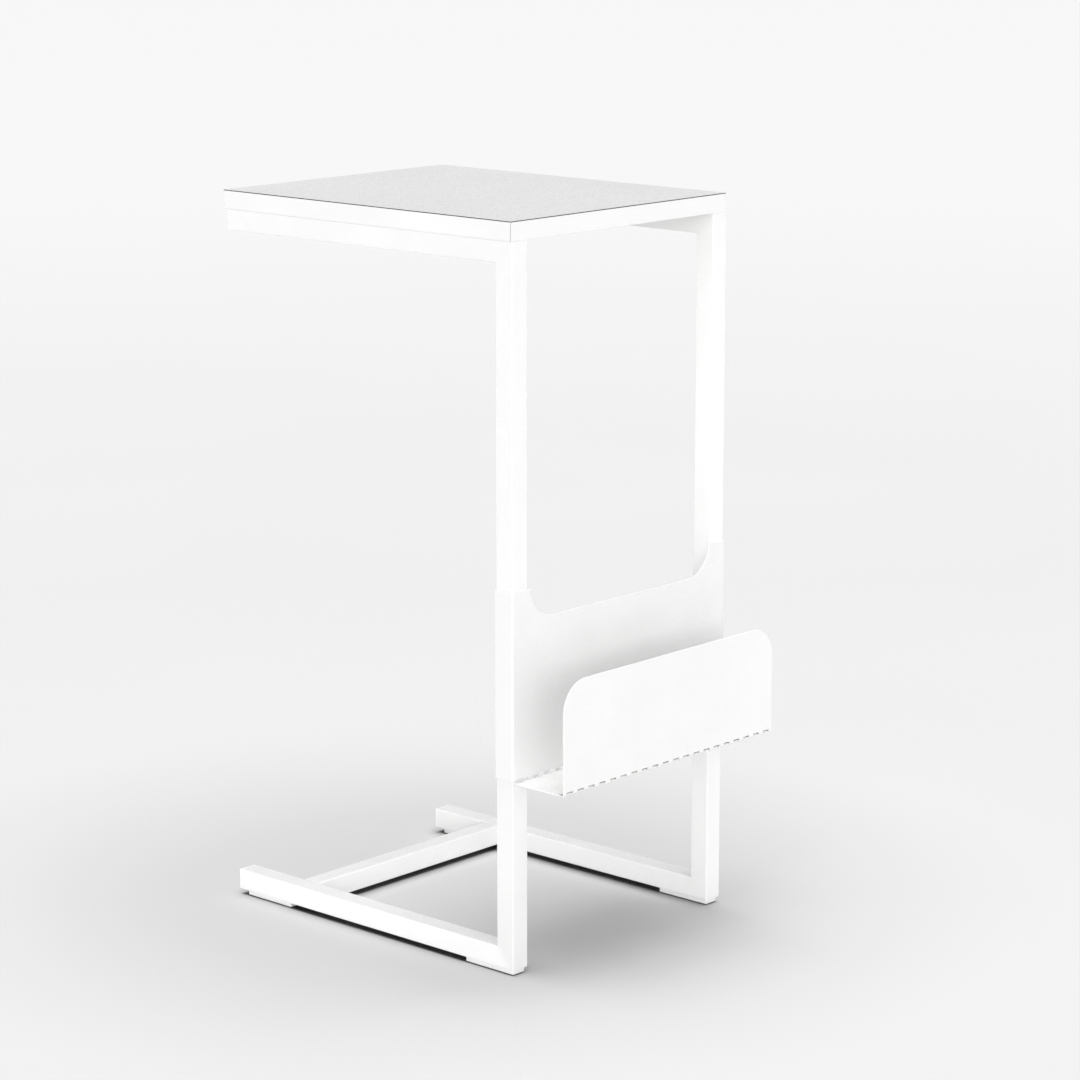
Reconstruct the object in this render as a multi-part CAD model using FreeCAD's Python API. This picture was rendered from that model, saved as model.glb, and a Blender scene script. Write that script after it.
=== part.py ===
import FreeCAD, Part
import math
import os

from FreeCAD import Vector, Rotation, Placement

# A free-standing C-shaped side table: two side frames of square steel tube, a
# crossbar between the floor legs, a laminated board top and a folded steel
# rack that clips round the front posts.  Millimetres, +Z up.
# X is the width (left is -X, seen from the rack side), the rack faces -Y and
# the legs and the top reach towards +Y.  The origin is the centre of the
# footprint on the floor.

# ---------------------------------------------------------------- dimensions
HEIGHT = 700.0            # floor to the upper face of the top
WIDTH = 300.0             # outside to outside of the side frames

TUBE = 20.0               # square tube, outside
WALL = 1.5                # tube wall
TUBE_R = 0.9              # outer corner radius of the tube
TUBE_RI = 0.4             # inner corner radius of the tube

POST_FRONT = -156.0       # front face of the posts
FRAME_REAR = 212.2        # rear end of legs and arms, caps included
CAP_FLANGE = 2.5          # visible thickness of an end cap
CAP_PLUG = 13.0           # how far a cap reaches into the tube
CROSSBAR_FRONT = 121.2    # front face of the base crossbar

GLIDE_H = 5.5             # thickness of the glides under the legs
GLIDE_W = 15.0            # narrower than the tube, so that they stand back under it
GLIDE_R = 0.8             # their upright corners
FOOT_H = 0.8              # lowest step of a glide, set in all round
FOOT_IN = 1.5
GLIDE_FRONT_Y = (-154.0, -94.0)
GLIDE_REAR_Y = (142.2, 202.2)
GLIDE_SCREW_PITCH = 38.0

TOP_T = 18.0              # whole thickness of the top
TOP_FRONT = -154.6
TOP_REAR = 216.2
LAM_T = 0.8               # decor laminate on the upper face
BACK_T = 0.8              # balancing laminate on the under face
BAND_T = 1.0              # edge band
BAND_JOINT = 0.25         # open mitre joint where two edge bands meet at a corner
TOP_SCREW_Y = (-112.0, 30.0, 172.0)

SHEET = 1.5               # rack sheet
BEND_RI = 0.5             # inner radius of the folds
RACK_FLOOR = 186.2        # upper face of the rack's floor
RACK_FRONT = -218.7       # outer face of the rack's front panel
RACK_FRONT_TOP = 291.0    # upper edge of the front panel
RACK_BACK_TOP = 335.7     # upper edge of the back panel between the posts
RACK_EAR_TOP = 364.5      # upper edge of the ears on the posts
RACK_CORNER_R = 30.0      # front panel's upper corners
RACK_CUT_R = 30.0         # lower corners of the cut-out in the back panel
EAR_INNER_X = 127.0       # inner edge of the ears
EAR_R = 3.0               # free corners of the rear flanges
SHEET_ROUND = 0.45        # deburred outline of the sheet
WRAP_BOTTOM = 187.6       # lower end of the wraps round the posts
FLANGE_END_X = 130.6      # free edge of the rear flanges
SLOT_COUNT = 20
SLOT_PITCH = 14.9
SLOT_LEN = 9.4
SLOT_RISE = 2.3           # how far a bend slot reaches up the panel above the floor
SLOT_IN = 1.8             # how far a bend slot reaches into the floor
RACK_SCREW_Z = (212.0, 340.0)

# -------------------------------------------------------------- derived sizes
HALF = WIDTH / 2.0
LEG_Z0 = GLIDE_H
LEG_Z1 = GLIDE_H + TUBE
ARM_Z1 = HEIGHT - TOP_T
ARM_Z0 = ARM_Z1 - TUBE
POST_REAR = POST_FRONT + TUBE
TUBE_END = FRAME_REAR - CAP_FLANGE
POST_X = HALF - TUBE / 2.0
RACK_BACK = POST_FRONT                 # rear face of the rack's back panel
MIDDLE_Y = (RACK_FRONT + TOP_REAR) / 2.0   # middle of the whole depth, which becomes Y = 0
BIG = 2000.0

X_AXIS = Vector(1, 0, 0)
Y_AXIS = Vector(0, 1, 0)
Z_AXIS = Vector(0, 0, 1)


# -------------------------------------------------------------------- helpers
def round_rect_face(w, h, r):
    """Rounded rectangle in the XY plane, centred on the origin."""
    a, b = w / 2.0, h / 2.0
    if r <= 0:
        pts = [Vector(-a, -b, 0), Vector(a, -b, 0), Vector(a, b, 0), Vector(-a, b, 0), Vector(-a, -b, 0)]
        return Part.Face(Part.makePolygon(pts))
    k = r * (1.0 - math.sqrt(0.5))
    edges = []

    def line(p, q):
        edges.append(Part.makeLine(Vector(*p, 0), Vector(*q, 0)))

    def arc(p, m, q):
        edges.append(Part.Arc(Vector(*p, 0), Vector(*m, 0), Vector(*q, 0)).toShape())

    line((-a + r, -b), (a - r, -b))
    arc((a - r, -b), (a - k, -b + k), (a, -b + r))
    line((a, -b + r), (a, b - r))
    arc((a, b - r), (a - k, b - k), (a - r, b))
    line((a - r, b), (-a + r, b))
    arc((-a + r, b), (-a + k, b - k), (-a, b - r))
    line((-a, b - r), (-a, -b + r))
    arc((-a, -b + r), (-a + k, -b + k), (-a + r, -b))
    return Part.Face(Part.Wire(edges))


def along(shape, axis, start):
    """Turn a shape built along +Z so that it runs along axis from start."""
    s = shape.copy()
    s.Placement = Placement(Vector(*start), Rotation(Z_AXIS, axis))
    return s


def square_tube(length):
    outer = round_rect_face(TUBE, TUBE, TUBE_R).extrude(Vector(0, 0, length))
    inner = round_rect_face(TUBE - 2 * WALL, TUBE - 2 * WALL, TUBE_RI).extrude(Vector(0, 0, length))
    return outer.cut(inner)


def yz_prism(points, x0, x1):
    pts = [Vector(x0, y, z) for y, z in points]
    return Part.Face(Part.makePolygon(pts + [pts[0]])).extrude(Vector(x1 - x0, 0, 0))


def cyl(r, h, base, axis):
    return Part.makeCylinder(r, h, Vector(*base), axis)


def box(x0, x1, y0, y1, z0, z1):
    return Part.makeBox(x1 - x0, y1 - y0, z1 - z0, Vector(x0, y0, z0))


def soften(shape, size, test):
    """Chamfer the edges that a test picks; the test sees each edge."""
    edges = [e for e in shape.Edges if test(e)]
    return shape.makeChamfer(size, edges) if edges else shape


def solid_of(shape):
    shape = shape.removeSplitter()
    return shape.Solids[0] if len(shape.Solids) == 1 else shape


parts = {}

# ------------------------------------------------------------ the side frames
leg_cut = [(POST_FRONT, LEG_Z0), (BIG, LEG_Z0), (BIG, LEG_Z1), (POST_REAR, LEG_Z1)]
post_cut = [(POST_FRONT, LEG_Z0), (POST_REAR, LEG_Z1), (POST_REAR, ARM_Z0), (POST_FRONT, ARM_Z1)]
arm_cut = [(POST_FRONT, ARM_Z1), (POST_REAR, ARM_Z0), (BIG, ARM_Z0), (BIG, ARM_Z1)]


def glide_centres(span):
    mid = (span[0] + span[1]) / 2.0
    return (mid - GLIDE_SCREW_PITCH / 2.0, mid + GLIDE_SCREW_PITCH / 2.0)


GLIDE_SCREW_Y = glide_centres(GLIDE_FRONT_Y) + glide_centres(GLIDE_REAR_Y)

for side, sx in (("left", -1.0), ("right", 1.0)):
    cx = sx * POST_X

    leg = along(square_tube(TUBE_END - POST_FRONT), Y_AXIS, (cx, POST_FRONT, (LEG_Z0 + LEG_Z1) / 2.0))
    leg = leg.common(yz_prism(leg_cut, cx - TUBE, cx + TUBE))
    for y in GLIDE_SCREW_Y:
        leg = leg.cut(cyl(1.7, WALL + 2.0, (cx, y, LEG_Z0 - 1.0), Z_AXIS))
    parts[side + "_leg"] = solid_of(leg)

    post = along(square_tube(ARM_Z1 - LEG_Z0), Z_AXIS, (cx, (POST_FRONT + POST_REAR) / 2.0, LEG_Z0))
    post = post.common(yz_prism(post_cut, cx - TUBE, cx + TUBE))
    for z in RACK_SCREW_Z:
        post = post.cut(cyl(3.0, WALL + 2.0, (cx, POST_REAR - WALL - 1.0, z), Y_AXIS))
    parts[side + "_post"] = solid_of(post)

    arm = along(square_tube(TUBE_END - POST_FRONT), Y_AXIS, (cx, POST_FRONT, (ARM_Z0 + ARM_Z1) / 2.0))
    arm = arm.common(yz_prism(arm_cut, cx - TUBE, cx + TUBE))
    for y in TOP_SCREW_Y:
        # clearance hole under the board and a wider access hole below it
        arm = arm.cut(cyl(2.25, WALL + 2.0, (cx, y, ARM_Z1 - WALL - 1.0), Z_AXIS))
        arm = arm.cut(cyl(5.0, WALL + 2.0, (cx, y, ARM_Z0 - 1.0), Z_AXIS))
    parts[side + "_arm"] = solid_of(arm)

# crossbar between the legs, butted on their inner faces
bar = along(square_tube(WIDTH - 2 * TUBE), X_AXIS,
            (-HALF + TUBE, CROSSBAR_FRONT + TUBE / 2.0, (LEG_Z0 + LEG_Z1) / 2.0))
parts["base_crossbar"] = solid_of(bar)


# ----------------------------------------------------------------- end caps
def end_cap():
    """Cap built along +Z: a cup that plugs into the tube, and a flange with softened rim."""
    inside = TUBE - 2 * WALL - 0.1
    flange = round_rect_face(TUBE, TUBE, TUBE_R).extrude(Vector(0, 0, CAP_FLANGE))
    rim = [e for e in flange.Edges if min(v.Point.z for v in e.Vertexes) > CAP_FLANGE - 1e-6]
    flange = flange.makeFillet(0.7, rim)
    plug = round_rect_face(inside, inside, 0.6).extrude(Vector(0, 0, CAP_PLUG))
    plug.translate(Vector(0, 0, -CAP_PLUG))
    hollow = round_rect_face(inside - 3.2, inside - 3.2, 0.6).extrude(Vector(0, 0, CAP_PLUG))
    hollow.translate(Vector(0, 0, -CAP_PLUG))
    return solid_of(flange.fuse(plug.cut(hollow)))


for side, sx in (("left", -1.0), ("right", 1.0)):
    parts["leg_cap_" + side] = along(end_cap(), Y_AXIS, (sx * POST_X, TUBE_END, (LEG_Z0 + LEG_Z1) / 2.0))
    parts["arm_cap_" + side] = along(end_cap(), Y_AXIS, (sx * POST_X, TUBE_END, (ARM_Z0 + ARM_Z1) / 2.0))


# --------------------------------------------------------- glides and screws
def glide(cx, span):
    length = span[1] - span[0]
    mid = (span[0] + span[1]) / 2.0
    body = round_rect_face(GLIDE_W, length, GLIDE_R).extrude(Vector(0, 0, GLIDE_H - FOOT_H))
    body.translate(Vector(0, 0, FOOT_H))
    foot = round_rect_face(GLIDE_W - 2 * FOOT_IN, length - 2 * FOOT_IN, GLIDE_R).extrude(Vector(0, 0, FOOT_H))
    low = [e for e in foot.Edges if max(v.Point.z for v in e.Vertexes) < 1e-6]
    g = body.fuse(foot.makeChamfer(0.25, low))
    g.translate(Vector(cx, mid, 0))
    for y in glide_centres(span):
        g = g.cut(cyl(1.8, GLIDE_H + 2.0, (cx, y, -1.0), Z_AXIS))
        g = g.cut(cyl(3.4, 0.7, (cx, y, -0.1), Z_AXIS))
        g = g.cut(Part.makeCone(3.4, 1.8, 1.6, Vector(cx, y, 0.6), Z_AXIS))
    return solid_of(g)


def countersunk_screw(cx, y):
    """Flat head up-side down in the glide, thread up into the tube wall."""
    head = cyl(3.25, 0.25, (cx, y, 0.5), Z_AXIS)
    head = head.fuse(Part.makeCone(3.25, 1.6, 1.6, Vector(cx, y, 0.75), Z_AXIS))
    shank = cyl(1.6, 7.5, (cx, y, 1.5), Z_AXIS)
    tip = Part.makeCone(1.6, 0.4, 1.6, Vector(cx, y, 9.0), Z_AXIS)
    s = head.fuse(shank).fuse(tip)
    for a, b in ((3.0, 0.6), (0.6, 3.0)):
        s = s.cut(box(cx - a / 2, cx + a / 2, y - b / 2, y + b / 2, 0.4, 1.35))
    return solid_of(s)


glide_screws = []
for side, sx in (("left", -1.0), ("right", 1.0)):
    for end, span in (("front", GLIDE_FRONT_Y), ("rear", GLIDE_REAR_Y)):
        parts["foot_glide_%s_%s" % (end, side)] = glide(sx * POST_X, span)
        for y in glide_centres(span):
            glide_screws.append(countersunk_screw(sx * POST_X, y))
parts["glide_screws"] = Part.makeCompound(glide_screws)

# ------------------------------------------------------------------- the top
core_x = HALF - BAND_T
core_y0, core_y1 = TOP_FRONT + BAND_T, TOP_REAR - BAND_T
z_core0, z_core1 = ARM_Z1 + BACK_T, HEIGHT - LAM_T

core = box(-core_x, core_x, core_y0, core_y1, z_core0, z_core1)
backing = box(-core_x, core_x, core_y0, core_y1, ARM_Z1, z_core0)
top_screws = []
SCREW_IN = 11.5           # how far a top screw reaches into the board
for sx in (-1.0, 1.0):
    for y in TOP_SCREW_Y:
        cx = sx * POST_X
        pilot = cyl(2.02, SCREW_IN + 0.5, (cx, y, ARM_Z1 - 0.2), Z_AXIS)
        core = core.cut(pilot)
        backing = backing.cut(pilot)
        seat = ARM_Z1 - WALL
        head = cyl(4.0, 2.4, (cx, y, seat - 2.4), Z_AXIS)
        rim = [e for e in head.Edges if max(v.Point.z for v in e.Vertexes) < seat - 2.3]
        head = head.makeFillet(1.0, rim)
        s = head.fuse(cyl(1.95, WALL + SCREW_IN - 1.6, (cx, y, seat), Z_AXIS))
        s = s.fuse(Part.makeCone(1.95, 0.5, 1.6, Vector(cx, y, ARM_Z1 + SCREW_IN - 1.6), Z_AXIS))
        for a, b in ((4.4, 0.9), (0.9, 4.4)):
            s = s.cut(box(cx - a / 2, cx + a / 2, y - b / 2, y + b / 2, seat - 2.6, seat - 1.0))
        top_screws.append(solid_of(s))
parts["top_core"] = solid_of(core)
parts["top_backing"] = solid_of(backing)
parts["top_screws"] = Part.makeCompound(top_screws)

lam = box(-HALF, HALF, TOP_FRONT, TOP_REAR, z_core1, HEIGHT)
parts["top_laminate"] = soften(lam, 0.2, lambda e: min(v.Point.z for v in e.Vertexes) > HEIGHT - 1e-6)


def band(points):
    """Edge band with mitred ends: its outline in plan, with the first two points on the outer face."""
    pts = [Vector(x, y, ARM_Z1) for x, y in points]
    b = Part.Face(Part.makePolygon(pts + [pts[0]])).extrude(Vector(0, 0, z_core1 - ARM_Z1))

    def outer_low(e):
        ends = [v.Point for v in e.Vertexes]
        return all(min(p.distanceToPoint(pts[0]), p.distanceToPoint(pts[1])) < 1e-6 for p in ends)

    return soften(b, 0.3, outer_low)


set_back = BAND_JOINT * math.sqrt(0.5)     # how far each end stays back from the corner, along its face
oy0, oy1 = TOP_FRONT + set_back, TOP_REAR - set_back
iy0, iy1 = core_y0 + set_back, core_y1 - set_back
ox, ix = HALF - set_back, core_x - set_back
parts["edge_band_front"] = band([(-ox, TOP_FRONT), (ox, TOP_FRONT), (ix, core_y0), (-ix, core_y0)])
parts["edge_band_rear"] = band([(ox, TOP_REAR), (-ox, TOP_REAR), (-ix, core_y1), (ix, core_y1)])
parts["edge_band_left"] = band([(-HALF, oy1), (-HALF, oy0), (-core_x, iy0), (-core_x, iy1)])
parts["edge_band_right"] = band([(HALF, oy0), (HALF, oy1), (core_x, iy1), (core_x, iy0)])


# ------------------------------------------------------------------ the rack
def folded_profile(points, radii, t):
    """Closed wire round a folded strip: centre-line corners with inner bend radii.

    points are 2-D corners of the strip's outer skin; every fold turns the same
    way, so the inner skin lies on the left of the path for positive t.
    """
    n = len(points)

    def unit(a, b):
        dx, dy = b[0] - a[0], b[1] - a[1]
        d = math.hypot(dx, dy)
        return dx / d, dy / d

    dirs = [unit(points[i], points[i + 1]) for i in range(n - 1)]
    outer, inner = [], []
    nx, ny = -dirs[0][1], dirs[0][0]
    outer.append(("p", points[0]))
    inner.append(("p", (points[0][0] + nx * t, points[0][1] + ny * t)))
    for i in range(1, n - 1):
        d0, d1 = dirs[i - 1], dirs[i]
        n0, n1 = (-d0[1], d0[0]), (-d1[1], d1[0])
        ri = radii[i - 1]
        ro = ri + t
        px, py = points[i]
        # bend centre for a right-angle fold
        c = (px - d0[0] * ro + d1[0] * ro, py - d0[1] * ro + d1[1] * ro)
        m = (px - c[0], py - c[1])
        ml = math.hypot(*m)
        m = (m[0] / ml, m[1] / ml)
        for r, out in ((ro, outer), (ri, inner)):
            a = (c[0] - n0[0] * r, c[1] - n0[1] * r)
            b = (c[0] - n1[0] * r, c[1] - n1[1] * r)
            out.append(("a", a, (c[0] + m[0] * r, c[1] + m[1] * r), b))
    nx, ny = -dirs[-1][1], dirs[-1][0]
    outer.append(("p", points[-1]))
    inner.append(("p", (points[-1][0] + nx * t, points[-1][1] + ny * t)))
    return outer, inner


def profile_face(outer, inner, to3d):
    edges = []
    last = [None]

    def go(p):
        if last[0] is not None and math.hypot(p[0] - last[0][0], p[1] - last[0][1]) > 1e-7:
            edges.append(Part.makeLine(to3d(*last[0]), to3d(*p)))
        last[0] = p

    def walk(items):
        for it in items:
            if it[0] == "p":
                go(it[1])
            else:
                go(it[1])
                edges.append(Part.Arc(to3d(*it[1]), to3d(*it[2]), to3d(*it[3])).toShape())
                last[0] = it[3]

    walk(outer)
    back = [it if it[0] == "p" else ("a", it[3], it[2], it[1]) for it in reversed(inner)]
    walk(back)
    go(outer[0][1])
    return Part.Face(Part.Wire(edges))


# tray: front panel, floor and back panel, folded in the YZ plane
tray_pts = [(RACK_FRONT, RACK_FRONT_TOP), (RACK_FRONT, RACK_FLOOR - SHEET),
            (RACK_BACK, RACK_FLOOR - SHEET), (RACK_BACK, RACK_EAR_TOP)]
outer, inner = folded_profile(tray_pts, [BEND_RI, BEND_RI], SHEET)
tray = profile_face(outer, inner, lambda y, z: Vector(-HALF, y, z)).extrude(Vector(WIDTH, 0, 0))

# wraps: each ear goes round the outer side of its post and ends in a rear flange
wrap_out = HALF + SHEET
wrap_rear = POST_REAR + SHEET
wraps = []
for sx in (-1.0, 1.0):
    pts = [(100.0, POST_FRONT - SHEET), (wrap_out, POST_FRONT - SHEET),
           (wrap_out, wrap_rear), (FLANGE_END_X, wrap_rear)]
    o, i = folded_profile(pts, [BEND_RI, BEND_RI], SHEET)
    f = profile_face(o, i, lambda x, y: Vector(x, y, WRAP_BOTTOM))
    w = f.extrude(Vector(0, 0, RACK_EAR_TOP - WRAP_BOTTOM))
    if sx < 0:
        w = w.mirror(Vector(0, 0, 0), X_AXIS)
    wraps.append(w)

# the tray's back panel stops where the fold of the wrap begins
edge_trim = HALF - BEND_RI
tray = tray.cut(box(edge_trim, HALF + 1, RACK_BACK - SHEET - 0.5, RACK_BACK + 0.5, WRAP_BOTTOM - 0.6, RACK_EAR_TOP + 1))
tray = tray.cut(box(-HALF - 1, -edge_trim, RACK_BACK - SHEET - 0.5, RACK_BACK + 0.5, WRAP_BOTTOM - 0.6, RACK_EAR_TOP + 1))
rack = tray.fuse(wraps[0]).fuse(wraps[1]).removeSplitter()


def xz_face(edges):
    return Part.Face(Part.Wire(edges))


# wide cut-out in the back panel, with rounded lower corners
zc = RACK_BACK_TOP + RACK_CUT_R
xi = EAR_INNER_X
k = RACK_CUT_R * math.sqrt(0.5)
y0 = RACK_BACK - SHEET - 1.0
V = lambda x, z: Vector(x, y0, z)
cut_edges = [
    Part.makeLine(V(-xi + RACK_CUT_R, RACK_BACK_TOP), V(xi - RACK_CUT_R, RACK_BACK_TOP)),
    Part.Arc(V(xi - RACK_CUT_R, RACK_BACK_TOP), V(xi - RACK_CUT_R + k, zc - k), V(xi, zc)).toShape(),
    Part.makeLine(V(xi, zc), V(xi, zc + 30)),
    Part.makeLine(V(xi, zc + 30), V(-xi, zc + 30)),
    Part.makeLine(V(-xi, zc + 30), V(-xi, zc)),
    Part.Arc(V(-xi, zc), V(-xi + RACK_CUT_R - k, zc - k), V(-xi + RACK_CUT_R, RACK_BACK_TOP)).toShape(),
]
rack = rack.cut(xz_face(cut_edges).extrude(Vector(0, SHEET + 2.0, 0)))

# rounded upper corners of the front panel
for sx in (-1.0, 1.0):
    c = sx * (HALF - RACK_CORNER_R)
    block = box(min(c, sx * (HALF + 1)), max(c, sx * (HALF + 1)), RACK_FRONT - 1, RACK_FRONT + SHEET + 1,
                RACK_FRONT_TOP - RACK_CORNER_R, RACK_FRONT_TOP + 1)
    disc = cyl(RACK_CORNER_R, SHEET + 4, (c, RACK_FRONT - 2, RACK_FRONT_TOP - RACK_CORNER_R), Y_AXIS)
    rack = rack.cut(block.cut(disc))

# rounded free corners of the rear flanges
for sx in (-1.0, 1.0):
    for z_edge, z_mid, z_far in ((RACK_EAR_TOP, RACK_EAR_TOP - EAR_R, RACK_EAR_TOP + 1),
                                 (WRAP_BOTTOM, WRAP_BOTTOM + EAR_R, WRAP_BOTTOM - 1)):
        xa, xb = sorted((sx * (FLANGE_END_X - 1), sx * (FLANGE_END_X + EAR_R)))
        block = box(xa, xb, POST_REAR - 0.5, wrap_rear + 0.5, min(z_mid, z_far), max(z_mid, z_far))
        disc = cyl(EAR_R, SHEET + 2, (sx * (FLANGE_END_X + EAR_R), POST_REAR - 1, z_mid), Y_AXIS)
        rack = rack.cut(block.cut(disc))
rack = rack.removeSplitter()


def strip_face(f):
    """True for the faces across the sheet's thickness, along its cut outline."""
    s = f.Surface
    if isinstance(s, Part.Cylinder) and min(abs(s.Radius - BEND_RI), abs(s.Radius - BEND_RI - SHEET)) < 1e-6:
        return False
    b = f.BoundBox
    return f.Area / (f.Length / 2.0) < SHEET + 0.05 and max(b.XLength, b.YLength, b.ZLength) > 2.5


# the cut outline is deburred: a small round on both skins
outline = []
for e in rack.Edges:
    near = rack.ancestorsOfType(e, Part.Face)
    if len(near) == 2 and strip_face(near[0]) != strip_face(near[1]) and min(near[0].Area, near[1].Area) > 2.0:
        outline.append(e)
rack = rack.makeFillet(SHEET_ROUND, outline)

# corner reliefs where the floor's rear fold meets the folds of the wraps
for sx in (-1.0, 1.0):
    rack = rack.cut(cyl(1.5, 8.0, (sx * (HALF - 0.4), RACK_BACK - SHEET - 3.0, WRAP_BOTTOM - 0.3), Y_AXIS))

# bend slots along both folds
slots = []
first = -(SLOT_COUNT - 1) * SLOT_PITCH / 2.0
for i in range(SLOT_COUNT):
    cx = first + i * SLOT_PITCH
    xa, xb = cx - SLOT_LEN / 2.0, cx + SLOT_LEN / 2.0
    slots.append(box(xa, xb, RACK_FRONT - 1, RACK_FRONT + SHEET + SLOT_IN,
                     RACK_FLOOR - SHEET - 1, RACK_FLOOR + SLOT_RISE))
    slots.append(box(xa, xb, RACK_BACK - SHEET - SLOT_IN, RACK_BACK + 1,
                     RACK_FLOOR - SHEET - 1, RACK_FLOOR + SLOT_RISE))
rack = rack.cut(Part.makeCompound(slots))

# fixing holes in the rear flanges, with their screws and rivet nuts
rack_screws, rivet_nuts = [], []
for sx in (-1.0, 1.0):
    for z in RACK_SCREW_Z:
        cx = sx * POST_X
        rack = rack.cut(cyl(2.25, SHEET + 2.0, (cx, POST_REAR - 1.0, z), Y_AXIS))

        # button head screw, head on the rear flange, thread towards the front
        head = cyl(3.8, 2.2, (cx, wrap_rear, z), Y_AXIS)
        rim = [e for e in head.Edges if min(v.Point.y for v in e.Vertexes) > wrap_rear + 2.1]
        head = head.makeFillet(1.5, rim)
        shank = cyl(1.95, 13.0, (cx, wrap_rear - 13.0, z), Y_AXIS)
        s = head.fuse(shank)
        hexagon = [Vector(cx + 1.44 * math.cos(math.radians(60 * j)), wrap_rear + 0.9,
                          z + 1.44 * math.sin(math.radians(60 * j))) for j in range(6)]
        socket = Part.Face(Part.makePolygon(hexagon + [hexagon[0]])).extrude(Vector(0, 2.0, 0))
        rack_screws.append(solid_of(s.cut(socket)))

        # flush rivet nut, collapsed behind the tube wall
        y_wall = POST_REAR - WALL
        nut = cyl(2.95, 11.0, (cx, POST_REAR - 11.0, z), Y_AXIS)
        bulge = Part.makeCone(2.95, 4.3, 1.6, Vector(cx, y_wall - 3.3, z), Y_AXIS)
        bulge = bulge.fuse(cyl(4.3, 1.7, (cx, y_wall - 1.7, z), Y_AXIS))
        nut = nut.fuse(bulge).cut(cyl(2.0, 14.0, (cx, POST_REAR - 12.5, z), Y_AXIS))
        rivet_nuts.append(solid_of(nut))

parts["rack_sheet"] = solid_of(rack)
parts["rack_screws"] = Part.makeCompound(rack_screws)
parts["rack_rivet_nuts"] = Part.makeCompound(rivet_nuts)

# -------------------------------------------------------------------- output
os.makedirs("parts", exist_ok=True)
whole = None
for name in sorted(parts):
    shape = parts[name].copy()
    shape.translate(Vector(0, -MIDDLE_Y, 0))
    n = len(shape.Solids)
    print("%-26s solids %2d valid %s volume %10.1f" % (name, n, shape.isValid(), sum(s.Volume for s in shape.Solids)))
    shape.exportStep("parts/%s.step" % name)
    bb = shape.BoundBox
    if whole is None:
        whole = FreeCAD.BoundBox(bb)
    else:
        whole.add(bb)
print("box", [round(v, 3) for v in (whole.XMin, whole.XMax, whole.YMin, whole.YMax, whole.ZMin, whole.ZMax)])
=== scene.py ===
import math

import bpy
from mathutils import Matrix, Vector


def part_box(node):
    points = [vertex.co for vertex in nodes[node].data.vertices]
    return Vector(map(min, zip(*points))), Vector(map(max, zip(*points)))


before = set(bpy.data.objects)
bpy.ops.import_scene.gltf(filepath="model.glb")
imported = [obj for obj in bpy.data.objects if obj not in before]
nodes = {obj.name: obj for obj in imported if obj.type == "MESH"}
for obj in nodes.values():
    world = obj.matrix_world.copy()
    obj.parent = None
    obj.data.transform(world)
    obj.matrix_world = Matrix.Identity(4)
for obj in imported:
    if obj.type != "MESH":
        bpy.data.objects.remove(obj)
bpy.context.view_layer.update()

scene = bpy.context.scene

# ---------------------------------------------------------------- node helpers


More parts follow.
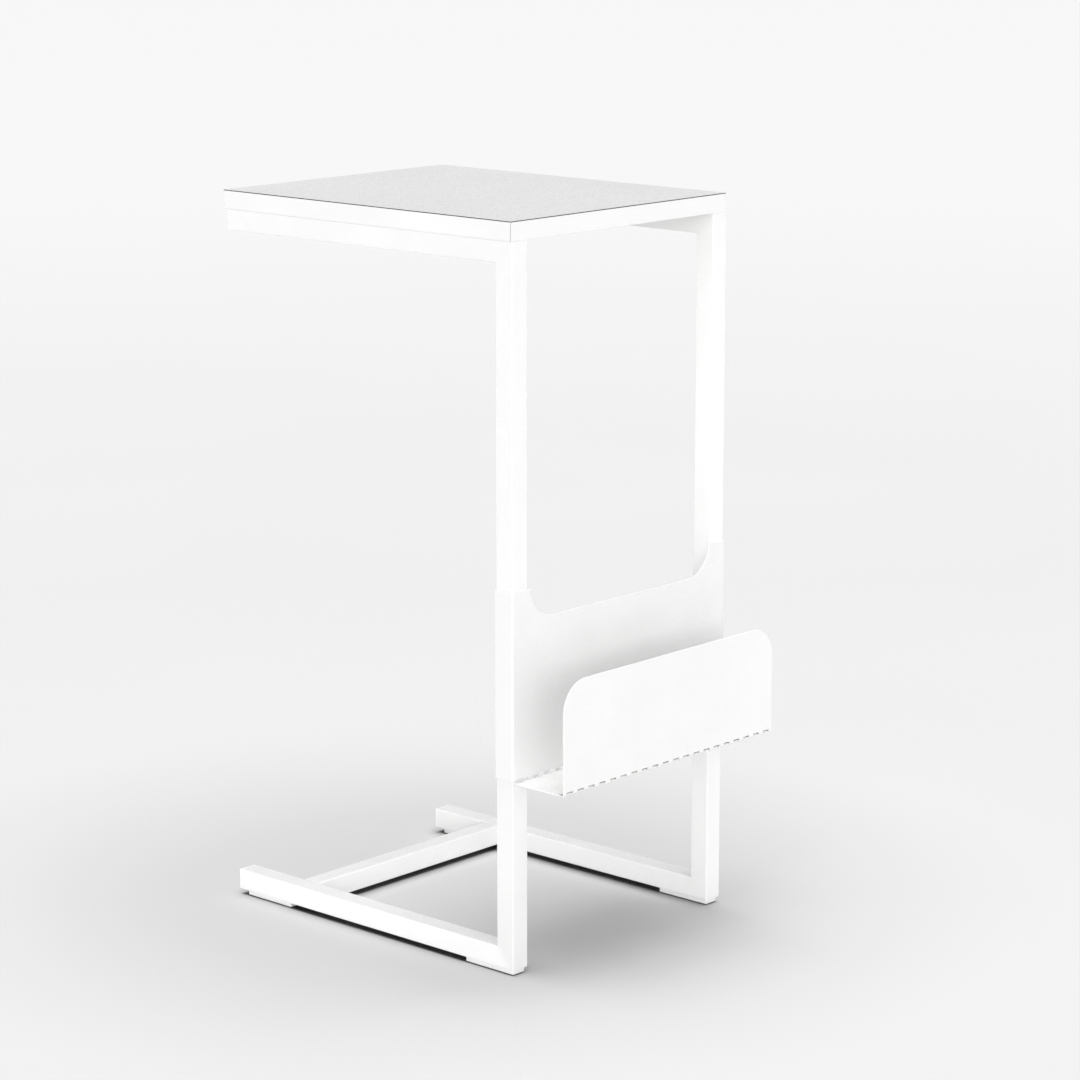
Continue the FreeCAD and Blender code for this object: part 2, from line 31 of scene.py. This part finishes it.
class Mat:
    """A procedural material: short calls for the nodes that the finishes below share."""

    def __init__(self, name):
        self.m = bpy.data.materials.new(name)
        self.m.use_nodes = True
        self.t = self.m.node_tree
        self.t.nodes.clear()
        self.out = self.t.nodes.new("ShaderNodeOutputMaterial")
        self.b = self.t.nodes.new("ShaderNodeBsdfPrincipled")
        self.t.links.new(self.b.outputs["BSDF"], self.out.inputs["Surface"])
        self.co = self.t.nodes.new("ShaderNodeTexCoord").outputs["Object"]
        self.geo = self.t.nodes.new("ShaderNodeNewGeometry")

    def link(self, a, b):
        self.t.links.new(a, b)

    def put(self, socket, value):
        if isinstance(value, bpy.types.NodeSocket):
            self.link(value, socket)
        else:
            socket.default_value = value

    def stretch(self, scale, turn=(0.0, 0.0, 0.0), move=(0.0, 0.0, 0.0)):
        n = self.t.nodes.new("ShaderNodeMapping")
        n.inputs["Scale"].default_value = scale
        n.inputs["Rotation"].default_value = turn
        n.inputs["Location"].default_value = move
        self.link(self.co, n.inputs["Vector"])
        return n.outputs["Vector"]

    def noise(self, scale, detail=2.0, rough=0.5, at=None, distort=0.0):
        n = self.t.nodes.new("ShaderNodeTexNoise")
        n.noise_dimensions = "3D"
        n.inputs["Scale"].default_value = scale
        n.inputs["Detail"].default_value = detail
        n.inputs["Roughness"].default_value = rough
        n.inputs["Distortion"].default_value = distort
        self.link(at if at is not None else self.co, n.inputs["Vector"])
        return n.outputs[0]

    def cells(self, scale, what="Distance", at=None, feature="F1"):
        n = self.t.nodes.new("ShaderNodeTexVoronoi")
        n.feature = feature
        n.inputs["Scale"].default_value = scale
        self.link(at if at is not None else self.co, n.inputs["Vector"])
        return n.outputs[what]

    def math(self, op, a, b=None, clamp=False):
        n = self.t.nodes.new("ShaderNodeMath")
        n.operation = op
        n.use_clamp = clamp
        self.put(n.inputs[0], a)
        if b is not None:
            self.put(n.inputs[1], b)
        return n.outputs[0]

    def span(self, v, lo, hi, to_lo, to_hi, smooth=False):
        n = self.t.nodes.new("ShaderNodeMapRange")
        n.interpolation_type = "SMOOTHSTEP" if smooth else "LINEAR"
        n.clamp = True
        self.link(v, n.inputs["Value"])
        for k, x in (("From Min", lo), ("From Max", hi), ("To Min", to_lo), ("To Max", to_hi)):
            n.inputs[k].default_value = x
        return n.outputs[0]

    def ramp(self, v, stops):
        n = self.t.nodes.new("ShaderNodeValToRGB")
        r = n.color_ramp
        while len(r.elements) < len(stops):
            r.elements.new(0.5)
        for e, (p, c) in zip(r.elements, stops):
            e.position = p
            e.color = (c[0], c[1], c[2], 1.0)
        self.link(v, n.inputs["Fac"])
        return n.outputs["Color"]

    def mix(self, f, a, b, mode="MIX"):
        n = self.t.nodes.new("ShaderNodeMix")
        n.data_type = "RGBA"
        n.blend_type = mode
        n.clamp_factor = True
        self.put(n.inputs["Factor"], f)
        for k, x in ((6, a), (7, b)):
            if isinstance(x, bpy.types.NodeSocket):
                self.link(x, n.inputs[k])
            else:
                n.inputs[k].default_value = (x[0], x[1], x[2], 1.0)
        return n.outputs[2]

    def axis(self, v, k):
        n = self.t.nodes.new("ShaderNodeSeparateXYZ")
        self.link(v, n.inputs[0])
        return n.outputs[k]

    def bump(self, height, strength, distance, before=None):
        n = self.t.nodes.new("ShaderNodeBump")
        n.inputs["Strength"].default_value = strength
        n.inputs["Distance"].default_value = distance
        self.link(height, n.inputs["Height"])
        if before is not None:
            self.link(before, n.inputs["Normal"])
        return n.outputs["Normal"]

    def edges(self, radius):
        """0 on flat faces, rising to 1 on outer and inner edges: how far the rounded normal leaves the face's own."""
        n = self.t.nodes.new("ShaderNodeBevel")
        n.samples = 6
        n.inputs["Radius"].default_value = radius
        d = self.t.nodes.new("ShaderNodeVectorMath")
        d.operation = "DOT_PRODUCT"
        self.link(n.outputs["Normal"], d.inputs[0])
        self.link(self.geo.outputs["Normal"], d.inputs[1])
        return self.span(d.outputs["Value"], 0.99, 0.80, 0.0, 1.0)


# ---------------------------------------------------------------- finishes


def powder_coat(name, seed, shaded_folds=()):
    """White semi-gloss powder coat: orange peel, a fine grain, slow changes of film and of gloss, a thinner film on the
    edges.

    Each fold given is an inner corner of bent sheet; next to it a dark grey band of painted shade is laid on the sheet:
    (y of the inner skin, +1 or -1 for the side that is inside, z of the floor, reach, strength).
    """
    m = Mat(name)
    here = m.stretch((1.0, 1.0, 1.0), move=(seed, seed * 0.7, -seed * 0.4))
    film = m.noise(7.0, 3.0, 0.55, at=here)
    peel = m.noise(330.0, 2.0, 0.45, at=here)
    grain = m.noise(1500.0, 2.0, 0.6, at=here)
    pips = m.cells(210.0, at=here)
    tone = m.ramp(film, [(0.30, (0.835, 0.835, 0.832)), (0.70, (0.868, 0.868, 0.866))])
    tone = m.mix(m.span(grain, 0.40, 0.68, 0.0, 0.30), tone, (0.785, 0.785, 0.783))
    specks = m.math("MULTIPLY", m.span(pips, 0.035, 0.015, 0.0, 1.0), m.span(film, 0.46, 0.60, 0.0, 0.5))
    tone = m.mix(specks, tone, (0.70, 0.70, 0.695))
    edge = m.edges(0.0009)
    worn = m.math("MULTIPLY", edge, m.span(m.noise(55.0, 3.0, 0.6, at=here), 0.38, 0.66, 0.10, 0.55))
    tone = m.mix(worn, tone, (0.72, 0.72, 0.715))
    low = m.span(m.axis(m.co, 2), 0.030, 0.003, 0.0, 1.0, smooth=True)
    scuff = m.math("MULTIPLY", low, m.span(m.noise(120.0, 4.0, 0.7, at=m.stretch((1.0, 1.0, 3.5))), 0.52, 0.68, 0.0, 0.35))
    tone = m.mix(scuff, tone, (0.62, 0.61, 0.60))
    gloss = m.math("ADD", m.span(film, 0.30, 0.70, 0.23, 0.31), m.span(grain, 0.35, 0.65, -0.03, 0.05))
    gloss = m.math("ADD", gloss, m.math("MULTIPLY", scuff, 0.25))
    # Painted shade: next to each inner fold the colour is pulled towards dark grey (0.27), standing in for the shade in
    # the corner of the fold.
    for y_in, side, z_in, reach, strength in shaded_folds:
        dy = m.math("MULTIPLY", m.math("SUBTRACT", m.axis(m.co, 1), y_in), side)
        dz = m.math("SUBTRACT", m.axis(m.co, 2), z_in)
        inside = m.math("MULTIPLY", m.math("GREATER_THAN", dy, -0.0002), m.math("GREATER_THAN", dz, -0.0001))
        near = m.math("MULTIPLY", m.span(dy, 0.35 * reach, reach, 1.0, 0.0, smooth=True),
                      m.span(dz, 0.0006, 0.45 * reach, 1.0, 0.0, smooth=True))
        uneven = m.span(m.noise(70.0, 3.0, 0.6, at=here), 0.32, 0.62, 0.78 * strength, strength)
        fold_shade = m.math("MULTIPLY", m.math("MULTIPLY", inside, near), uneven)
        tone = m.mix(fold_shade, tone, (0.27, 0.27, 0.266))
        gloss = m.math("ADD", gloss, m.math("MULTIPLY", fold_shade, 0.18))
    m.link(tone, m.b.inputs["Base Color"])
    m.link(gloss, m.b.inputs["Roughness"])
    n = m.bump(peel, 0.16, 0.0010)
    n = m.bump(grain, 0.10, 0.0003, before=n)
    m.link(n, m.b.inputs["Normal"])
    m.b.inputs["Specular IOR Level"].default_value = 0.5
    m.b.inputs["Coat Weight"].default_value = 0.10
    m.b.inputs["Coat Roughness"].default_value = 0.22
    return m.m


def laminate():
    """Pale decor sheet with a fine matt grain. Its cut side shows the brown-grey layers under the decor."""
    m = Mat("decor_laminate")
    cloud = m.noise(5.0, 3.0, 0.5)
    grain = m.noise(520.0, 4.0, 0.72)
    flake = m.cells(330.0)
    pore = m.noise(2600.0, 1.0, 0.5)
    fleck = m.axis(m.cells(1000.0, "Color"), 0)
    tone = m.ramp(cloud, [(0.32, (0.852, 0.852, 0.852)), (0.68, (0.868, 0.868, 0.868))])
    tone = m.mix(m.span(grain, 0.40, 0.64, 0.0, 0.55), tone, (0.950, 0.950, 0.950))
    tone = m.mix(m.span(fleck, 0.30, 1.0, 0.0, 0.60), tone, (0.600, 0.600, 0.600))
    tone = m.mix(m.span(fleck, 0.30, 0.0, 0.0, 0.45), tone, (0.980, 0.980, 0.980))
    tone = m.mix(m.span(flake, 0.30, 0.08, 0.0, 0.25), tone, (0.640, 0.640, 0.640))
    tone = m.mix(m.span(m.edges(0.0006), 0.2, 1.0, 0.0, 0.35), tone, (0.50, 0.50, 0.495))
    layer = m.noise(1.0, 2.0, 0.5, at=m.stretch((60.0, 60.0, 5200.0)))
    cut = m.ramp(layer, [(0.35, (0.050, 0.045, 0.041)), (0.65, (0.105, 0.097, 0.089))])
    side = m.span(m.math("ABSOLUTE", m.axis(m.geo.outputs["True Normal"], 2)), 0.85, 0.72, 0.0, 1.0)
    m.link(m.mix(side, tone, cut), m.b.inputs["Base Color"])
    m.link(m.math("ADD", m.span(grain, 0.35, 0.65, 0.46, 0.58), m.span(cloud, 0.3, 0.7, -0.03, 0.04)), m.b.inputs["Roughness"])
    n = m.bump(grain, 0.22, 0.0004)
    n = m.bump(pore, 0.10, 0.0002, before=n)
    m.link(n, m.b.inputs["Normal"])
    m.b.inputs["Specular IOR Level"].default_value = 0.42
    return m.m


def edge_band(name, along):
    """White extruded edging: satin, with faint drawing lines along its length, slightly dull corners and glued mitres."""
    m = Mat(name)
    scale = {"x": (6.0, 900.0, 900.0), "y": (900.0, 6.0, 900.0)}[along]
    lines = m.noise(1.0, 2.0, 0.6, at=m.stretch(scale))
    grain = m.noise(1400.0, 2.0, 0.6)
    cloud = m.noise(9.0, 2.0, 0.5)
    tone = m.ramp(cloud, [(0.30, (0.825, 0.825, 0.823)), (0.70, (0.862, 0.862, 0.860))])
    tone = m.mix(m.span(lines, 0.45, 0.70, 0.0, 0.14), tone, (0.775, 0.775, 0.772))
    tone = m.mix(m.span(m.edges(0.0007), 0.15, 1.0, 0.0, 0.45), tone, (0.62, 0.62, 0.615))
    face = m.geo.outputs["True Normal"]
    slant = m.math("MULTIPLY", m.math("ABSOLUTE", m.axis(face, 0)), m.math("ABSOLUTE", m.axis(face, 1)))
    tone = m.mix(m.span(slant, 0.30, 0.45, 0.0, 1.0), tone, (0.150, 0.140, 0.128))
    m.link(tone, m.b.inputs["Base Color"])
    m.link(m.math("ADD", m.span(lines, 0.3, 0.7, 0.36, 0.47), m.span(grain, 0.35, 0.65, -0.02, 0.03)), m.b.inputs["Roughness"])
    n = m.bump(lines, 0.12, 0.0003)
    n = m.bump(grain, 0.08, 0.0002, before=n)
    m.link(n, m.b.inputs["Normal"])
    m.b.inputs["Specular IOR Level"].default_value = 0.45
    return m.m


def moulded(name, pale, dull, seed, rough):
    """White moulded plastic with a spark-eroded grain; dull and faintly scuffed on its lowest edges."""
    m = Mat(name)
    here = m.stretch((1.0, 1.0, 1.0), move=(seed, -seed, seed * 0.3))
    grain = m.noise(1900.0, 2.0, 0.6, at=here)
    pits = m.cells(1100.0, at=here)
    flow = m.noise(38.0, 3.0, 0.5, at=here, distort=0.6)
    tone = m.ramp(flow, [(0.30, dull), (0.70, pale)])
    tone = m.mix(m.span(pits, 0.25, 0.08, 0.0, 0.25), tone, tuple(c * 0.82 for c in dull))
    low = m.span(m.axis(m.co, 2), 0.0030, 0.0004, 0.0, 1.0, smooth=True)
    scuff = m.math("MULTIPLY", low, m.span(m.noise(420.0, 3.0, 0.7, at=here), 0.42, 0.66, 0.1, 0.6))
    tone = m.mix(scuff, tone, tuple(c * 0.62 for c in dull))
    tone = m.mix(m.span(m.edges(0.0005), 0.2, 1.0, 0.0, 0.30), tone, tuple(c * 0.80 for c in dull))
    m.link(tone, m.b.inputs["Base Color"])
    m.link(m.math("ADD", m.span(grain, 0.35, 0.65, rough - 0.05, rough + 0.06), m.math("MULTIPLY", scuff, 0.2)), m.b.inputs["Roughness"])
    n = m.bump(grain, 0.20, 0.0003)
    n = m.bump(pits, 0.10, 0.0002, before=n)
    m.link(n, m.b.inputs["Normal"])
    m.b.inputs["Specular IOR Level"].default_value = 0.45
    return m.m


def backing():
    """Plain balancing sheet under the board: off-white paper look with faint fibres and pressed marks."""
    m = Mat("balance_backing")
    fibre = m.noise(1.0, 3.0, 0.6, at=m.stretch((70.0, 620.0, 620.0), turn=(0.0, 0.0, 0.12)))
    cloud = m.noise(6.0, 3.0, 0.55)
    grain = m.noise(1300.0, 2.0, 0.6)
    tone = m.ramp(cloud, [(0.30, (0.735, 0.730, 0.715)), (0.70, (0.785, 0.780, 0.765))])
    tone = m.mix(m.span(fibre, 0.50, 0.72, 0.0, 0.40), tone, (0.665, 0.655, 0.635))
    m.link(tone, m.b.inputs["Base Color"])
    m.link(m.math("ADD", m.span(cloud, 0.3, 0.7, 0.56, 0.66), m.span(grain, 0.35, 0.65, -0.03, 0.04)), m.b.inputs["Roughness"])
    n = m.bump(fibre, 0.14, 0.0003)
    n = m.bump(grain, 0.12, 0.0002, before=n)
    m.link(n, m.b.inputs["Normal"])
    m.b.inputs["Specular IOR Level"].default_value = 0.35
    return m.m


def chipboard():
    """Raw particle board: pressed chips of mixed tone with dark resin gaps."""
    m = Mat("particle_board")
    bent = m.stretch((1.0, 1.0, 2.2))
    chip = m.cells(360.0, "Color", at=bent)
    gap = m.cells(360.0, at=bent, feature="DISTANCE_TO_EDGE")
    fibre = m.noise(900.0, 3.0, 0.7, at=m.stretch((1.0, 3.0, 3.0)))
    tone = m.ramp(m.axis(chip, 0), [(0.0, (0.36, 0.25, 0.15)), (0.45, (0.52, 0.39, 0.25)), (1.0, (0.66, 0.53, 0.37))])
    tone = m.mix(m.span(fibre, 0.40, 0.68, 0.0, 0.35), tone, (0.42, 0.30, 0.19))
    tone = m.mix(m.span(gap, 0.10, 0.02, 0.0, 0.7), tone, (0.20, 0.13, 0.08))
    m.link(tone, m.b.inputs["Base Color"])
    m.link(m.span(fibre, 0.3, 0.7, 0.72, 0.88), m.b.inputs["Roughness"])
    n = m.bump(gap, 0.5, 0.0006)
    m.link(m.bump(fibre, 0.25, 0.0003, before=n), m.b.inputs["Normal"])
    m.b.inputs["Specular IOR Level"].default_value = 0.25
    return m.m


def zinc():
    """Bright zinc plating: crystalline mottle, fine turning marks, a little dulling on the edges."""
    m = Mat("zinc_plate")
    spangle = m.cells(700.0, "Color")
    cloud = m.noise(120.0, 3.0, 0.55)
    turned = m.noise(1.0, 2.0, 0.6, at=m.stretch((300.0, 300.0, 4200.0)))
    tone = m.ramp(cloud, [(0.30, (0.56, 0.57, 0.585)), (0.70, (0.68, 0.69, 0.70))])
    tone = m.mix(m.span(m.axis(spangle, 0), 0.2, 0.8, 0.0, 0.25), tone, (0.50, 0.51, 0.53))
    tone = m.mix(m.span(m.edges(0.0003), 0.2, 1.0, 0.0, 0.4), tone, (0.42, 0.42, 0.43))
    m.link(tone, m.b.inputs["Base Color"])
    m.link(m.math("ADD", m.span(cloud, 0.3, 0.7, 0.26, 0.36), m.span(turned, 0.35, 0.65, -0.03, 0.06)), m.b.inputs["Roughness"])
    m.link(m.bump(turned, 0.12, 0.0001), m.b.inputs["Normal"])
    m.b.inputs["Metallic"].default_value = 1.0
    return m.m


def studio_floor():
    """Seamless pale paper: nearly even, with a faint tooth; painted light makes it a little brighter away from the
    table, and painted shade makes it dark in narrow gaps.
    """
    m = Mat("studio_paper")
    cloud = m.noise(1.3, 2.0, 0.5)
    tooth = m.noise(700.0, 2.0, 0.6)
    away = m.t.nodes.new("ShaderNodeVectorMath")
    away.operation = "LENGTH"
    m.link(m.co, away.inputs[0])
    tone = m.ramp(cloud, [(0.30, (0.446, 0.446, 0.446)), (0.70, (0.454, 0.454, 0.454))])
    # Painted light: the paper's colour grows lighter with distance from the table.
    tone = m.mix(m.span(away.outputs["Value"], 1.5, 6.5, 0.0, 1.0, smooth=True), tone, (0.485, 0.485, 0.485))
    # Painted shade: an ambient occlusion mask turns the paper nearly black in the narrow gaps under the legs and
    # glides.
    gap = m.t.nodes.new("ShaderNodeAmbientOcclusion")
    gap.samples = 8
    gap.inputs["Distance"].default_value = 0.022
    tone = m.mix(m.span(gap.outputs["AO"], 0.50, 0.18, 0.0, 0.92), tone, (0.012, 0.012, 0.012))
    m.link(tone, m.b.inputs["Base Color"])
    m.link(m.span(tooth, 0.3, 0.7, 0.78, 0.90), m.b.inputs["Roughness"])
    m.b.inputs["Specular IOR Level"].default_value = 0.15
    return m.m


def wear(obj, material):
    obj.data.materials.clear()
    obj.data.materials.append(material)


frame_paint = powder_coat("powder_coat_frame", 0.0)
rack_low, rack_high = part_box("rack_sheet")
sheet, tray_floor, tray_depth = 0.0015, 0.1862, 0.0627
# The rack's coat carries painted shade along the inner side of its front and rear folds.
rack_paint = powder_coat("powder_coat_rack", 3.7, shaded_folds=(
    (rack_low[1] + sheet, 1.0, tray_floor, 0.0070, 0.95),
    (rack_low[1] + tray_depth - sheet, -1.0, tray_floor, 0.0045, 0.35),
))
decor = laminate()
band_x = edge_band("edge_band_long_x", "x")
band_y = edge_band("edge_band_long_y", "y")
cap_plastic = moulded("moulded_cap", (0.868, 0.868, 0.866), (0.835, 0.835, 0.832), 1.3, 0.42)
glide_plastic = moulded("moulded_glide", (0.855, 0.855, 0.850), (0.815, 0.815, 0.810), 2.9, 0.50)
paper = backing()
board = chipboard()
plated = zinc()

finish_of = {
    "left_post": frame_paint, "right_post": frame_paint,
    "left_leg": frame_paint, "right_leg": frame_paint,
    "left_arm": frame_paint, "right_arm": frame_paint,
    "base_crossbar": frame_paint,
    "rack_sheet": rack_paint,
    "top_laminate": decor, "top_backing": paper, "top_core": board,
    "edge_band_front": band_x, "edge_band_rear": band_x,
    "edge_band_left": band_y, "edge_band_right": band_y,
    "leg_cap_left": cap_plastic, "leg_cap_right": cap_plastic,
    "arm_cap_left": cap_plastic, "arm_cap_right": cap_plastic,
    "foot_glide_front_left": glide_plastic, "foot_glide_front_right": glide_plastic,
    "foot_glide_rear_left": glide_plastic, "foot_glide_rear_right": glide_plastic,
    "glide_screws": plated, "top_screws": plated,
    "rack_screws": plated, "rack_rivet_nuts": plated,
}
for name, obj in nodes.items():
    wear(obj, finish_of[name])

# ---------------------------------------------------------------- studio

floor_mesh = bpy.data.meshes.new("studio_floor")
reach, level = 60.0, -0.0001
floor_mesh.from_pydata(
    [(-reach, -reach, level), (reach, -reach, level), (reach, reach, level), (-reach, reach, level)], [], [(0, 1, 2, 3)]
)
floor = bpy.data.objects.new("studio_floor", floor_mesh)
scene.collection.objects.link(floor)
wear(floor, studio_floor())

# Soft surround: a bright band at the horizon that meets the floor, dimmer overhead.
world = bpy.data.worlds.new("studio_surround")
scene.world = world
world.use_nodes = True
wt = world.node_tree
wt.nodes.clear()
w_out = wt.nodes.new("ShaderNodeOutputWorld")
w_bg = wt.nodes.new("ShaderNodeBackground")
w_co = wt.nodes.new("ShaderNodeTexCoord")
w_xyz = wt.nodes.new("ShaderNodeSeparateXYZ")
w_ramp = wt.nodes.new("ShaderNodeValToRGB")
wt.links.new(w_co.outputs["Generated"], w_xyz.inputs[0])
wt.links.new(w_xyz.outputs["Z"], w_ramp.inputs["Fac"])
wt.links.new(w_ramp.outputs["Color"], w_bg.inputs["Color"])
wt.links.new(w_bg.outputs["Background"], w_out.inputs["Surface"])
stops = w_ramp.color_ramp.elements
stops.new(0.5)
for stop, (place, grey) in zip(stops, ((0.09, 1.0), (0.24, 0.22), (0.60, 0.026))):
    stop.position, stop.color = place, (grey, grey, grey, 1.0)
w_bg.inputs["Strength"].default_value = 0.93


# The lower lights reach the table only, so that the floor keeps the shadow of the overhead light,
# and the floor has its own overhead light. They pass by the decor sheet, where they would only glare.
lit_pieces = bpy.data.collections.new("lit_pieces")
lit_sides = bpy.data.collections.new("lit_sides")
for name, obj in nodes.items():
    lit_pieces.objects.link(obj)
    if name != "top_laminate":
        lit_sides.objects.link(obj)
lit_floor = bpy.data.collections.new("lit_floor")
lit_floor.objects.link(floor)
lit_base = bpy.data.collections.new("lit_base")
for name in ("left_leg", "right_leg", "base_crossbar", "leg_cap_left", "leg_cap_right", "foot_glide_front_left",
             "foot_glide_front_right", "foot_glide_rear_left", "foot_glide_rear_right"):
    lit_base.objects.link(nodes[name])


def soft_light(name, turn, height, spread, power, only=None):
    """A far, wide soft light: turn is its bearing from the rack side towards +X, height its elevation, in degrees."""
    data = bpy.data.lights.new(name, "SUN")
    data.energy = power * math.pi
    data.angle = math.radians(spread)
    obj = bpy.data.objects.new(name, data)
    a, e = math.radians(turn), math.radians(height)
    toward = Vector((math.sin(a) * math.cos(e), -math.cos(a) * math.cos(e), math.sin(e)))
    obj.rotation_euler = (-toward).to_track_quat("-Z", "Y").to_euler()
    if only is not None:
        obj.light_linking.receiver_collection = only
    scene.collection.objects.link(obj)
    return obj


soft_light("overhead", 0.0, 85.0, 56.0, 0.97, lit_pieces)
soft_light("overhead_floor", 0.0, 87.0, 64.0, 1.88, lit_floor)
soft_light("base_fill", -48.0, 25.0, 60.0, 0.225, lit_base)
soft_light("front_left", -82.0, 12.0, 52.0, 0.375, lit_sides)
soft_light("front_middle", -48.0, 12.0, 46.0, 0.240, lit_sides)
soft_light("front_right", -12.0, 12.0, 46.0, 0.270, lit_sides)
soft_light("right_fill", 78.0, 14.0, 50.0, 0.17, lit_sides)
soft_light("rear_fill", 168.0, 16.0, 50.0, 0.21, lit_sides)

# A low soft box in front of each post lifts the post's foot, which stands in the rack's shade.
for name, place, power in (("left_post", (-0.42, -0.62, 0.05), 0.26), ("right_post", (-0.30, -0.50, 0.05), 0.78)):
    box = bpy.data.lights.new("foot_box_" + name, "AREA")
    box.shape, box.size, box.energy = "DISK", 0.30, power
    box_obj = bpy.data.objects.new("foot_box_" + name, box)
    box_obj.location = place
    foot = Vector((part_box(name)[0][0] + 0.010, -0.146, 0.09))
    box_obj.rotation_euler = (foot - Vector(place)).to_track_quat("-Z", "Y").to_euler()
    box_obj.visible_camera = False
    lit_post = bpy.data.collections.new("lit_" + name)
    lit_post.objects.link(nodes[name])
    box_obj.light_linking.receiver_collection = lit_post
    scene.collection.objects.link(box_obj)

# ---------------------------------------------------------------- camera

cam_data = bpy.data.cameras.new("camera")
cam_data.sensor_fit = "HORIZONTAL"
cam_data.sensor_width = 36.0
cam_data.lens = 115.2795
cam_data.clip_start = 0.05
cam_data.clip_end = 200.0
cam = bpy.data.objects.new("camera", cam_data)
azimuth, pitch, distance = math.radians(-47.8337), math.radians(12.3013), 3.18
target = Vector((-0.080133, -0.125115, 0.397590))
sight = Vector((-math.sin(azimuth) * math.cos(pitch), math.cos(azimuth) * math.cos(pitch), -math.sin(pitch)))
cam.location = target - sight * distance
cam.rotation_euler = sight.to_track_quat("-Z", "Y").to_euler()
scene.collection.objects.link(cam)
scene.camera = cam

scene.view_settings.view_transform = "Standard"
scene.view_settings.look = "None"
scene.view_settings.exposure = 0.0
scene.view_settings.gamma = 1.0
